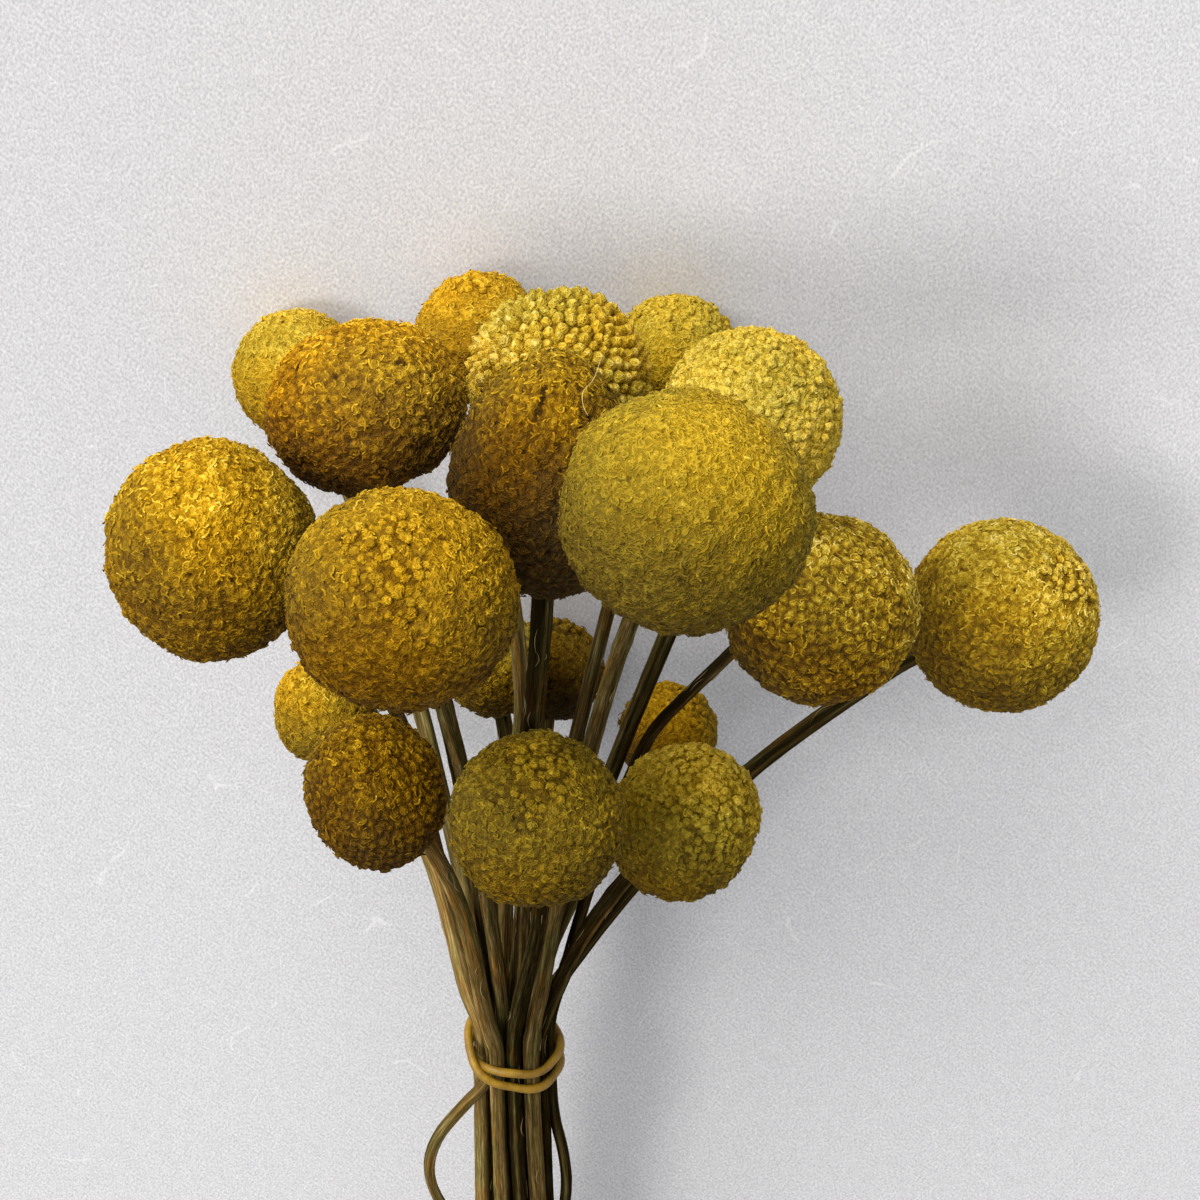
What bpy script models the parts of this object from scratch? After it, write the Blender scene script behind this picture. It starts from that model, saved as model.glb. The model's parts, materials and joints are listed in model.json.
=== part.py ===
"""Dried billy button bunch, lying on its back.

Nineteen dried flower heads, each a ball of packed florets on its own woody
stem. A rubber band, wound twice round the stems, ties them into a bundle.

The bunch is modelled around its tie, in the bunch frame: the origin is the
middle of the tie, +X goes across, -Y is the front of the bunch, and +Z runs
up to the heads. An empty then lays the whole bunch down on its back.
"""
import math
import random
from itertools import combinations

import bmesh
import bpy
import numpy as np
from mathutils import Matrix, Vector
from mathutils.geometry import interpolate_bezier

MM = 0.001
SEED = 19

# How the bunch lies: its stems slope up from their cut ends to the heads. The
# tie's place puts the middle of the whole bunch over the origin.
LAY_SLOPE = math.radians(7.63)
TIE_PLACE = Vector((18.4, -22.7, 38.3)) * MM

# The flower heads, in millimetres and degrees. across, front and up place the
# middle of the head from the tie. height and depth are shares of the width,
# along the stem and from front to back. The head leans with its stem, to the
# right (+X) and to the front (-Y).
#   across front  up  width height depth  right front  tint
FLOWERS = (
    (-36, 24, 139, 28.5, 1.00, 1.05, -25, 30, "golden"),
    (-31, -44, 107, 20.5, 1.00, 1.00, -22, -20, "golden"),
    (-17, 3, 144.5, 28.5, 0.82, 0.96, -12, -12, "orange"),
    (-4, -42, 116, 20.5, 1.00, 1.00, -6, -20, "orange"),
    (8, -14, 134, 26.0, 0.98, 1.00, 2, -4, "olive"),
    (7, 19, 148, 25.5, 1.38, 1.06, 3, -10, "golden"),
    (24, 44, 165, 32.0, 0.94, 0.96, 8, 35, "lemon"),
    (25, -45, 110, 19.5, 1.00, 1.00, 14, -18, "lemon"),
    (34, 0, 139.5, 25.5, 0.94, 1.00, 14, -2, "lemon"),
    (43.5, 12, 115, 27.5, 0.97, 1.00, 34, 26, "golden"),
    (72, -12, 89, 29.5, 1.00, 1.00, 44, 12, "golden"),
    (-10.5, 42, 148, 30.5, 0.94, 0.96, -6, 25, "golden"),
    (-28.5, -22, 57, 16.5, 1.12, 1.05, -32, 0, "golden"),
    (-18.5, 15, 81, 20.5, 1.12, 1.14, -18, 26, "golden"),
    (5, 33, 96, 25.0, 0.98, 1.00, -2, 12, "lemon"),
    (26, 12, 71.5, 22.0, 1.12, 1.12, 24, 14, "lemon"),
    (24, -22, 52, 16.5, 1.00, 1.00, 26, -10, "golden"),
    (-2.5, -25, 64.5, 17.0, 1.05, 1.00, -8, -18, "olive"),
    (6, -36.2, 51, 17.5, 1.00, 1.00, 5, -22, "olive"),
)
RESTING = (2, 8)            # the two back heads that lie on the table

FLORETS = 92                # bosses round one head
FLORET_RISE = 0.07          # from the valleys to the tops, a share of the radius
SWELL = 0.025               # how far a head is off a true ball

STEM_WIDE = 2.4             # just under the head
STEM_CUT_WIDE = 2.55        # at the cut end
STEM_PITCH = 2.85           # between the middles of two stems in the tie
STEM_BELOW = 210            # length below the tie
STRAIGHT_ABOVE = 8          # length above the tie where the stems stay together
STRAIGHT_BELOW = 4          # and below it
STEM_STAGGER = 9            # the cut ends differ by this much each way
STEM_SPREAD = 1.75          # how much wider the bundle is at the cut ends
STEM_TWIST = math.radians(28)
STEM_SIDES = 6
BAND_SIDES = 8
FIT = 0.3                   # clearance round a stem in its head

# Two outer stems bow out of the bundle below the tie:
# flower number: across, front, start and end below the tie.
BOWS = {1: (-10.4, 1, 5, 62), 10: (2, 2.4, 16, 58)}

BAND_THICK = 1.6
BAND_APART = 3.6                # between the two turns, away from the crossing
BAND_OVER = 2.0                 # how far one turn rises to cross the other
BAND_UP = 1.5
BAND_TILT = math.radians(-15)   # its left side sits higher
BAND_CROSSING = math.radians(225)   # where the two turns cross, left front
BAND_POINTS = 66

COLOURS = {
    "golden": (0.58, 0.36, 0.03),
    "lemon": (0.55, 0.42, 0.05),
    "olive": (0.44, 0.33, 0.05),
    "orange": (0.60, 0.30, 0.02),
    "stem": (0.16, 0.11, 0.06),
    "band": (0.52, 0.34, 0.06),
}


# ---------------------------------------------------------------- the layout

class Flower:
    """One flower's place and size, in millimetres in the bunch frame."""

    def __init__(self, number, row):
        across, front, up, width, height, depth, right, forward, tint = row
        self.number = number
        self.tint = tint
        self.centre = Vector((across, -front, up))
        self.radii = Vector((1, depth, height)) * width / 2
        self.axis = Vector((math.tan(math.radians(right)),
                            -math.tan(math.radians(forward)), 1)).normalized()
        self.turn = Vector((0, 0, 1)).rotation_difference(self.axis)

    @property
    def base(self):
        """Where the stem meets the underside of the head."""
        return self.centre - self.axis * self.radii.z

    @property
    def socket(self):
        """The bottom of the hole that the stem stands in."""
        return self.centre - self.axis * self.radii.z * 0.45


def tie_slots():
    """The places of nineteen stems packed in a hexagon round the middle."""
    steps = range(-2, 3)
    return [Vector(((q + r / 2) * STEM_PITCH, r * STEM_PITCH * math.sqrt(0.75)))
            for q in steps for r in steps if abs(q + r) <= 2]


def share_slots(flowers):
    """Give each stem a slot on its head's side, the widest leaning outermost."""
    def lean(flower):
        return flower.centre.xy.length / flower.centre.z

    ranked = sorted(flowers, key=lean)
    wanted = [flower.centre.xy.normalized() * 2 * STEM_PITCH
              * math.sqrt((rank + 0.5) / len(ranked))
              for rank, flower in enumerate(ranked)]
    slots = tie_slots()

    def miss(flower, slot):
        return (wanted[flower] - slots[slot]).length_squared

    swapped = True
    while swapped:
        swapped = False
        for a, b in combinations(range(len(ranked)), 2):
            if miss(a, b) + miss(b, a) < miss(a, a) + miss(b, b) - 1e-6:
                slots[a], slots[b] = slots[b], slots[a]
                swapped = True
    return {flower.number: slot for flower, slot in zip(ranked, slots)}


def stem_below(slot, length, bow, steps):
    """The stretch from the cut end up to the tie, spreading as it goes down."""
    points = []
    for step in range(steps + 1):
        share = 1 - step / steps
        depth = STRAIGHT_BELOW + (length - STRAIGHT_BELOW) * share
        place = slot * (1 + (STEM_SPREAD - 1) * share ** 1.3)
        place.rotate(Matrix.Rotation(STEM_TWIST * share, 2))
        if bow:
            across, front, start, end = bow
            reach = min(max((depth - start) / (end - start), 0), 1)
            out = math.sin(math.pi * reach ** 0.75) ** 1.5
            place += Vector((across, -front)) * out
        points.append(Vector((place.x, place.y, -depth)))
    return points


def stem_above(flower, slot, steps):
    """The stretch from the tie to its head, before the stems make room."""
    start = Vector((slot.x, slot.y, STRAIGHT_ABOVE))
    neck = flower.base - flower.axis * 7
    length = (neck - start).length
    leave = (flower.centre * 0.5 / flower.centre.length + Vector((0, 0, 0.5)))
    return interpolate_bezier(start, start + leave * length * 0.4,
                              neck - flower.axis * length * 0.35, neck, steps)


def make_room(paths, flowers, rounds=180):
    """Ease the stems apart from each other and from the heads they pass."""
    points = np.array([[tuple(p) for p in path] for path in paths])
    room = STEM_WIDE + 0.8
    ease = np.ones(points.shape[1])
    ease[:2] = 0
    ease[-1:] = 0
    ease = ease[:, None]
    turns = [np.array(f.turn.to_matrix()) for f in flowers]
    sizes = [np.array(f.radii) for f in flowers]
    for _ in range(rounds):
        push = np.zeros_like(points)
        for a, b in combinations(range(len(points)), 2):
            apart = points[a][:, None] - points[b][None]
            far = np.linalg.norm(apart, axis=2)
            short = np.clip(room - far, 0, None) / np.maximum(far, 0.01)
            shift = apart * short[..., None] * 0.5
            push[a] += shift[np.arange(len(shift)), far.argmin(axis=1)]
            push[b] -= shift[far.argmin(axis=0), np.arange(len(shift))]
        for own in range(len(points)):
            for other, flower in enumerate(flowers):
                if other == own:
                    continue
                local = (points[own] - np.array(flower.centre)) @ turns[other]
                grown = sizes[other] + STEM_WIDE / 2 + 1.5
                depth = np.linalg.norm(local / grown, axis=1)
                inside = np.clip(1 / np.maximum(depth, 0.05) - 1, 0, 2)
                push[own] += (local * inside[:, None]) @ turns[other].T
        points += push * ease
        bend = np.zeros_like(points)
        bend[:, 1:-1] = points[:, :-2] + points[:, 2:] - 2 * points[:, 1:-1]
        points += bend * 0.25 * ease
    return points


# ----------------------------------------------------------- making objects

def collection(name):
    found = bpy.data.collections.new(name)
    bpy.context.scene.collection.children.link(found)
    return found


def material(name, colour, roughness):
    mat = bpy.data.materials.new(name)
    mat.use_nodes = True
    shader = mat.node_tree.nodes["Principled BSDF"]
    shader.inputs["Base Color"].default_value = (*colour, 1)
    shader.inputs["Roughness"].default_value = roughness
    shader.inputs["Metallic"].default_value = 0
    return mat


def tube(name, points, thick, sides, swell=None, cyclic=False):
    """A mesh tube along the points (millimetres), made from a curve."""
    curve = bpy.data.curves.new(name, "CURVE")
    curve.dimensions = "3D"
    curve.bevel_depth = thick / 2 * MM
    curve.bevel_resolution = (sides - 4) // 2
    curve.use_fill_caps = not cyclic
    spline = curve.splines.new("POLY")
    spline.points.add(len(points) - 1)
    spline.use_cyclic_u = cyclic
    for step, (spot, point) in enumerate(zip(spline.points, points)):
        spot.co = (*(Vector(point) * MM), 1)
        spot.radius = swell[step] if swell else 1
    guide = bpy.data.objects.new(name + "_curve", curve)
    bpy.context.scene.collection.objects.link(guide)
    shape = guide.evaluated_get(bpy.context.evaluated_depsgraph_get())
    mesh = bpy.data.meshes.new_from_object(shape)
    mesh.name = name
    body = bmesh.new()
    body.from_mesh(mesh)
    bmesh.ops.remove_doubles(body, verts=body.verts, dist=1e-6)
    bmesh.ops.recalc_face_normals(body, faces=body.faces)
    body.to_mesh(mesh)
    body.free()
    mesh.shade_smooth()
    mesh.set_sharp_from_angle(angle=math.radians(50))
    obj = bpy.data.objects.new(name, mesh)
    obj.matrix_world = guide.matrix_world
    bpy.data.objects.remove(guide)
    return obj


def cutter(obj, cutters):
    obj.display_type = "WIRE"
    obj.hide_render = True
    cutters.objects.link(obj)
    return obj


def cut(obj, tool):
    boolean = obj.modifiers.new("cut " + tool.name, "BOOLEAN")
    boolean.operation = "DIFFERENCE"
    boolean.solver = "EXACT"
    boolean.object = tool


def floret_ball(name, flower, rng):
    """A ball of six-sided floret bosses, evenly spread by the golden angle.

    The hull of the spread points is a net of triangles. Each triangle is
    poked, and the old edges are turned, so that every point becomes the top
    of one boss and every triangle's middle a valley between three.
    """
    ball = bmesh.new()
    golden = math.pi * (3 - math.sqrt(5))
    start = rng.uniform(0, math.tau)
    for step in range(FLORETS):
        height = 1 - (step + 0.5) * 2 / FLORETS
        ring = math.sqrt(1 - height * height)
        angle = start + golden * step
        ball.verts.new((ring * math.cos(angle), ring * math.sin(angle), height))
    tops = list(ball.verts)
    bmesh.ops.convex_hull(ball, input=tops)
    net = list(ball.edges)
    bmesh.ops.poke(ball, faces=list(ball.faces))
    bmesh.ops.rotate_edges(ball, edges=net)
    swells = [(Vector((rng.gauss(0, 1), rng.gauss(0, 1), rng.gauss(0, 1)))
               .normalized(), rng.uniform(-1, 1)) for _ in range(4)]
    for vert in ball.verts:
        way = vert.co.normalized()
        reach = 1 - SWELL
        reach += SWELL / 2 * sum(k * math.sin(3 * way.dot(s)) for s, k in swells)
        if vert not in tops:
            reach -= FLORET_RISE            # a valley
        vert.co = way * reach
    bmesh.ops.scale(ball, vec=flower.radii * MM, verts=ball.verts)
    bmesh.ops.recalc_face_normals(ball, faces=ball.faces)
    mesh = bpy.data.meshes.new(name)
    ball.to_mesh(mesh)
    ball.free()
    return mesh


# ------------------------------------------------------------------ the parts

def make_head(flower, bunch, parts, cutters, table):
    """One flower head, with the hole in its underside for the stem."""
    name = f"head_{flower.number:02d}"
    mesh = floret_ball(name, flower, random.Random(SEED + flower.number))
    head = bpy.data.objects.new(name, mesh)
    head.parent = bunch
    head.location = flower.centre * MM
    head.rotation_mode = "QUATERNION"
    head.rotation_quaternion = flower.turn
    head.data.materials.append(
        material(name, COLOURS[flower.tint], 0.85))
    parts.objects.link(head)

    ends = (flower.socket, flower.base - flower.axis * 3)
    wide = (STEM_WIDE + 2 * FIT) / math.cos(math.pi / STEM_SIDES)
    hole = tube(name + "_hole", ends, wide, STEM_SIDES)
    hole.parent = bunch
    cut(head, cutter(hole, cutters))
    if flower.number in RESTING:
        cut(head, table)
    return head


def make_stem(flower, points, bunch, parts):
    """One woody stem, a little wider towards its cut end."""
    name = f"stem_{flower.number:02d}"
    extra = STEM_CUT_WIDE / STEM_WIDE - 1
    down = [max(0, 1 - 1.6 * step / len(points)) for step in range(len(points))]
    stem = tube(name, points, STEM_WIDE, STEM_SIDES, [1 + extra * d for d in down])
    stem.parent = bunch
    stem.data.materials.append(material(name, COLOURS["stem"], 0.75))
    parts.objects.link(stem)
    return stem


def hexagon_reach(angle, beyond):
    """How far out the band's middle lies, hugging the six corner stems.

    It is an arc round the corner stem while the angle is near that stem, and
    a straight run between two corner stems elsewhere.
    """
    corner = 2 * STEM_PITCH
    sixth = math.pi / 3
    off = abs((angle + sixth / 2) % sixth - sixth / 2)
    arc_end = math.atan2(beyond * math.sin(sixth / 2),
                         corner + beyond * math.cos(sixth / 2))
    if off < arc_end:
        return (corner * math.cos(off)
                + math.sqrt(beyond ** 2 - (corner * math.sin(off)) ** 2))
    return (corner * math.cos(sixth / 2) + beyond) / math.cos(sixth / 2 - off)


def make_band(bunch, parts):
    """One rubber band that goes round twice and crosses over itself once."""
    beyond = STEM_CUT_WIDE / 2 + BAND_THICK / 2 + FIT + 0.1
    points = []
    for step in range(BAND_POINTS):
        along = 4 * math.pi * step / BAND_POINTS
        angle = along + BAND_CROSSING + math.pi
        over = BAND_OVER * math.exp(-((along - math.pi) / 0.45) ** 2)
        reach = hexagon_reach(angle, beyond) + over
        turn = math.cos(along / 2)
        place = Vector((reach * math.cos(angle), reach * math.sin(angle), BAND_UP))
        place.z += BAND_APART / 2 * turn / math.hypot(turn, 0.28)
        place.z += place.x * math.tan(BAND_TILT)
        points.append(place)
    band = tube("band", points, BAND_THICK, BAND_SIDES, cyclic=True)
    band.parent = bunch
    band.data.materials.append(material("band", COLOURS["band"], 0.5))
    parts.objects.link(band)
    return band


def lay_down(parts):
    """The empty that lays the bunch on its back, heads towards -Y."""
    bunch = bpy.data.objects.new("bunch", None)
    bunch.location = TIE_PLACE
    bunch.rotation_euler = (LAY_SLOPE - math.pi / 2, 0, math.pi)
    parts.objects.link(bunch)
    return bunch


def make_table(cutters):
    """A slab under the bunch that flattens the heads it rests on."""
    bpy.ops.mesh.primitive_cube_add(size=1)
    table = bpy.context.object
    table.name = "table"
    table.data.transform(Matrix.Diagonal((0.6, 0.9, 0.02, 1)))
    table.location = (0, 0, -0.01)
    for home in list(table.users_collection):
        home.objects.unlink(table)
    return cutter(table, cutters)


def main():
    for obj in list(bpy.data.objects):
        bpy.data.objects.remove(obj)
    parts = collection("dried_billy_button_bunch")
    cutters = collection("cutters")
    bunch = lay_down(parts)
    table = make_table(cutters)

    flowers = [Flower(n + 1, row) for n, row in enumerate(FLOWERS)]
    slots = share_slots(flowers)
    upper = make_room([stem_above(f, slots[f.number], 44) for f in flowers], flowers)
    rng = random.Random(SEED)
    for flower, above in zip(flowers, upper):
        make_head(flower, bunch, parts, cutters, table)
        bow = BOWS.get(flower.number)
        length = STEM_BELOW + rng.uniform(-STEM_STAGGER, STEM_STAGGER)
        below = stem_below(slots[flower.number], length, bow, 28 if bow else 5)
        tip = flower.socket - flower.axis * FIT
        points = below + [Vector(p) for p in above[::5]] + [Vector(above[-1]), tip]
        make_stem(flower, points, bunch, parts)
    make_band(bunch, parts)


main()
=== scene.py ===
"""Looks of the dried billy button bunch.

Each flower head becomes a creased felt with curled florets all over it, and
round knobs or pointed buds at its apex. Each stem becomes a ribbed, weathered
rod, and the band a soft rubber strand. The pieces are placed by what the
frame says: where each head and stem lies.
"""
import json
import math
from types import SimpleNamespace

import bmesh
import bpy
import numpy as np
from mathutils import Matrix, Vector


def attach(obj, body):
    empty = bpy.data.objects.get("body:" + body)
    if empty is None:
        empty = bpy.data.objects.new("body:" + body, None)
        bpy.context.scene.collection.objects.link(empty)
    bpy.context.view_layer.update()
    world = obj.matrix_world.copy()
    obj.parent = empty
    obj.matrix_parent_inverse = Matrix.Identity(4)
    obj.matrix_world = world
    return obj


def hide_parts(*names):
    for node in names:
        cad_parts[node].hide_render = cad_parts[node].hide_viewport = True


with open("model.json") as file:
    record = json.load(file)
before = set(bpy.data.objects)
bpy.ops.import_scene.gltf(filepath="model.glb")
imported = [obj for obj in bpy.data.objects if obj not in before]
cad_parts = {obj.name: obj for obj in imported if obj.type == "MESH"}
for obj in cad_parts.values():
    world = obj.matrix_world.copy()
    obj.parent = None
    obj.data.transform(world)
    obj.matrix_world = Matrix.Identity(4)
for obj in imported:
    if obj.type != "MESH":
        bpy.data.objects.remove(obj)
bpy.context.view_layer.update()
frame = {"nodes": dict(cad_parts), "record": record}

MM = 0.001
SEED = 19
HEADS = 19
FAR = 99.0  # millimetres: further than anything is looked for
ROUND = 6.3  # random phases are drawn up to this, a full turn

# What tells a solid's parts apart, in millimetres.
RINGS_APART = 2.2  # two points of a stem further apart are of two rings
FLAT_BELOW = 0.2  # a head's points this low are on its flat

# The bunch frame: its origin is the middle of the tie, and it lies on its
# back. These repeat the part's own values.
LAY_SLOPE = math.radians(7.63)
TIE = np.array((18.4, -22.7, 38.3)) * MM
ACROSS = np.array((-1, 0, 0))
FRONT = np.array((0, math.sin(LAY_SLOPE), math.cos(LAY_SLOPE)))
UP = np.array((0, -math.cos(LAY_SLOPE), math.sin(LAY_SLOPE)))
BUNCH = np.column_stack((ACROSS, -FRONT, UP))  # columns: across, back, up

# The camera looks at the bunch from its front and from above its heads, as
# the photograph does.
LOOK_AT = np.array((13.7, 0, 104.5)) * MM  # in the bunch frame
CAMERA_RISE = math.radians(46)  # from square-on to the stems
CAMERA_AWAY = 495 * MM
VIEW_WIDE = 168 * MM  # what the picture spans there
SENSOR = 36  # the camera's, in millimetres
FLOOR_HALF = 2.5  # half a side of it, in metres

# The key light comes low from the heads' end and the picture's left.
KEY_WAY = (0.42, -0.84, 0.34)
KEY_POWER = 4.35
KEY_SOFT = math.radians(56)
SKY_POWER = 0.44
# A weaker lamp higher up gives the shadow beside the stems.
LAMP_WAY = (0.45, -0.3, 0.84)
LAMP_POWER = 1.1
LAMP_SOFT = math.radians(16)
LIGHT_TINT = (1, 0.975, 0.93)
SKY_TINT = (0.97, 0.98, 1.0, 1)

# Every length of a floret is in millimetres.
ROW_GAP = 0.866  # between an even pattern's rows, a share of its step

# The felt that the florets stand in.
LARGE_HEAD = 10.5  # a head with a larger radius has a finer felt
FELT_SUNK = 0.25  # the felt lies this far under the solid's bosses
# Painted shade: the felt's creases are darker than its tops.
FELT_TIPS = (0.22, 0.24)  # how light its creases are, and its tops over them
CLUSTER_APART = 1.7  # between the low clusters in the felt
CLUSTER_SHAKEN = 0.2  # a share of that
CLUSTER_DEEP = 0.42
CREASE_WIDE = 0.5  # of a crease between clusters, a share of their step
# Painted shade: threads down in a crease are darker, those high up a cluster
# lighter.
CREASE_SHADE = 0.3  # how much darker threads are down in one
CREASE_LEVEL = 0.8  # threads higher than this up a cluster are lighter
# Slow swells, and clumps of florets: how fine, how high or strong.
SWELLS = ((2.6, 0.24), (6, 0.14))
CLUMPS = ((13, 0.65), (27, 0.75))
CLUMP_HIGH = 0.22
# Painted shade: the hollows between clumps are darker and the clumps lighter.
CLUMP_SHADE = 0.15  # how much darker or lighter a clump makes its florets
# Pits are points of the felt sunk deeper and painted dark, as painted shade;
# more lie between knobs and buds.
PIT_SHARE = 0.004  # of the felt's points, on a large head
PIT_DEEP = 0.4
PITS_IN_BUD = 5  # times as many between knobs and buds

# The curled threads.
CURLS_A_SQUARE = 1.02  # to a square millimetre
CURL_SHAKEN = 0.35
CURL_LONG = (0.9, 2.0)
CURL_TURNS = (0.7, 4.6)  # radians
CURL_HALF = (0.11, 0.17)
CURL_LEAN = 0.05
CURL_TILT = 0.22
CURL_BULGE = 3.0  # a thread curls down over a ball of this radius
CURL_PROUD = (0.02, 0.12)
CURL_SUNK = 1.1  # its edges lie this many half-widths under its ridge
UP_END_SHARE = 0.1  # of the threads have one end up,
UP_END = (0.1, 0.35)  # this high
# A thread's rings: where along it, how wide, and how light each point is. Its
# ridge is lighter than its sunk sides, a painted highlight, and it grows paler
# toward its far end, partly a pale floret tip and partly a painted glint.
CURL_EACH = 14
CURL_AT = np.array((0, 0.06, 0.36, 0.66, 0.94, 1))
CURL_WIDE = np.array((0, 0.9, 1, 0.98, 0.92, 0))
CURL_TIPS = (0.36, 0.36, 0.5, 0.36, 0.38, 0.56, 0.38, 0.4, 0.61, 0.4,
             0.5, 0.78, 0.5, 0.84)

# The knobs round an apex, and the pointed buds of a head still in bud: how far
# apart, how shaken, how deep the felt lies between them and how light it is
# there, painted dark as shade, how deep their feet are, and how uneven. Their
# profiles: height and radius as shares of half their width, and how light they
# are there: darker at the foot, painted shade, and paler on top, partly pale
# tips and partly a painted highlight.
KNOBS = SimpleNamespace(
    apart=1.36, shaken=0.26, gap_deep=0.3, gap_tip=0.17, sunk=0.04, uneven=0.09,
    sides=7, profile=((-0.8, 1.0, 0.14), (-0.25, 1.0, 0.36), (0.15, 0.66, 0.46),
                      (0.3, 0, 0.5)))
BUDS = SimpleNamespace(
    apart=1.85, shaken=0.1, gap_deep=0.7, gap_tip=0.14, sunk=0.45, uneven=0.07,
    sides=8, profile=((-1.2, 0.8, 0.06), (-0.35, 1.02, 0.24), (0.25, 0.98, 0.4),
                      (0.85, 0.52, 0.5), (1.35, 0, 0.66)))
ITEM_SIZE = (0.78, 1.2)
ITEM_SUNK = 0.05  # and it varies by as much
BUD_TO_APEX = 0.35  # how much a bud leans toward the apex
BUD_TILT = 0.12
# The threads on each knob: how many, how far out, how high there, and so on.
KNOB_CURLS = 2
KNOB_CURL_OUT = (0.1, 0.75)
KNOB_CURL_HIGH, KNOB_CURL_FALL = 0.2, 0.5
KNOB_CURL_LEAN = 0.9
KNOB_CURL_SIZE = 0.7
KNOB_BULGE = 0.9
IN_BUD = (5,)  # the heads with buds, not knobs
# How far down from its apex each head is still in bud, in degrees, and how
# that edge wavers: waves round the head, and how far.
BUD_CAPS = (0, 15, 0, 25, 80, 0, 0, 50, 65, 0, 20, 25, 20, 0, 30, 52, 40,
            30, 30)
EDGE_WAVES = ((2, 0.22), (5, 0.15))

TAPER = {6: 0.14, 14: 0.06, 16: 0.05}  # narrower at the apex by this share

# How bright each head is: partly its own colour, partly painted shade where it
# lies in the others' shadow. Each is painted lighter on one side, a painted
# light from that way: its far side keeps the share below of that, or the share
# listed after it for a head painted more evenly lit, or lighter there.
HEAD_SHADE = (0.9, 1.18, 0.83, 1.02, 0.93, 0.64, 0.77, 1.0, 1.15, 1.06, 1.3,
              0.74, 0.93, 0.52, 0.49, 0.93, 0.7, 1.02, 0.4)
PAINTED_LIT_SIDE = (-0.375, -0.727, -0.575)
LIT_SIDE_FROM, LIT_SIDE_OVER = -0.75, 1.6  # where it starts, and how far it takes
FRONT_SHADE = 0.42
FRONT_SHADES = {2: 0.65, 4: 0.65, 5: 1.5, 6: 0.6, 8: 0.7, 9: 1.2, 13: 0.65,
                15: 0.7}
# Florets are darker toward the stem, partly browner and partly painted shade
# under the head: from this far down (radians), by this share. Head 6's is a
# painted shadow from the heads round it.
FOOT_BROWN_AND_SHADE = (0.9, 0.37)
SHADOWED_FOOT = {6: (0.25, 0.72)}
FOOT_SPREAD = 1.3
ITEM_SHADE = 0.08  # how much one floret differs from the next
# How crisp a head's florets look against their gaps, and how strongly their
# painted shade and highlights show: 1 is plain, less is a matted, smoother
# felt, and all differences are from this middle mark.
MATTED_TO = 0.43
TIPS_PALER = 1.45  # the lightest parts are further from it
CRISP = {1: 1.3, 2: 0.6, 3: 1.35, 4: 0.6, 5: 0.7, 6: 1.5, 7: 0.5, 8: 0.4,
         9: 0.5, 10: 1.8, 11: 1.3, 13: 0.8, 14: 1.6, 15: 1.05, 16: 0.9,
         17: 0.5}
# How much more of a head has dried browner, or less of it. There are more such
# patches from this far down (radians), over this far, by this much.
GREYED = {5: 0.3, 7: 0.4, 8: -0.5, 9: -0.4, 11: 0.6, 12: -0.4, 15: 0.4,
          16: 0.3}
AGE_FINE = 3.2
AGE_FROM, AGE_OVER, AGE_MORE = 1.6, 1.2, 0.9
ITEM_AGE = 0.3  # how much one floret differs from the next

# Short splits, painted dark as the shade down in them, and fibres that lie on a
# head. Each is a row of places right of and above the head's middle as the
# camera sees it, in millimetres.
SPLITS = {
    3: (((4.8, 5.3), (5.6, 5.3)),),
    6: (((0.0, 10.1), (-1.4, 5.9)),),
}
SPLIT_HALF = 0.36
SPLIT_DEEP = 0.6
SPLIT_TIP = 0.02
SPLIT_CLEAR = 0.4  # florets keep this far from a split's middle
STRAYS = {6: (((7.0, 14.4), (5.9, 10.9), (4.6, 9.1), (4.8, 7.3), (5.3, 6.3)),)}
STRAY_STEP = 0.35
STRAY_SIDES = 5
STRAY_RADIUS = 0.065
STRAY_THINS = 0.025  # by this much toward its ends
STRAY_PROUD = 0.35  # how far out of the fitted ball a fibre lies

# Stems, in millimetres.
STEM_SIDES = 14
STEM_STEP = 2.3
STEM_RADIUS = (1.05, 1.2)
BENT = (1, 10)  # the stems that bow out below the band are thinner
BENT_THIN = 0.8
RIB_SIZES = (0.075, 0.04, 0.05)  # shares of the radius
RIB_DRIFT = 0.02  # how far they turn about the stem, radians to 1 mm
RIB_SWAY, RIB_SWAY_LONG = 0.4, (14, 30)
RIB_HIGH = 0.12  # a rib this high has a ridge mark of 1
RIDGE_SHIFT = (-0.3, 0.85)  # one stem is darker than the next
RIDGE_MOST = 1.9
SWELL_SIZE, SWELL_LONG = 0.035, 9
ROUGH_SIZE = 0.012
SCARS_APART = (30, 75)
SCARS_START = -20
SCAR_LONG = 1.3
SCAR_HIGH = 0.12
GRAIN_LONG = 10  # one unit of grain along the stem
GRAIN_SHIFT = (3.7, 5.1, 0)  # from one stem to the next
# Painted shade: a stem is darker where another covers it: looked for this far
# out of it, full within TUCKED_NEAR of the other's middle, and fading over
# TUCKED_OVER.
TUCKED_SHADE = 1.3
TUCKED_OUT, TUCKED_NEAR, TUCKED_OVER = 0.8, 0.9, 1.5
FIBRE_APART = 9  # along a stem, between its loose fibres
FIBRE_LONG = (2, 6)
FIBRE_LIFT = (0.1, 0.5)  # of its ends
FIBRE_LIFTED = 0.35  # this share of them is lifted
FIBRE_AT_TIP = 0.3  # this share is near the stem's tip
FIBRE_SWAY = 0.5
FIBRE_RADIUS = 0.06
FIBRE_MARK = 2.5  # its ridge mark, past any of the bark's
FIBRE_GRAIN = 9.0

# How far the pieces stay off the floor, in millimetres.
HEAD_CLEAR = 0.15
STEM_CLEAR = 0.05

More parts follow.
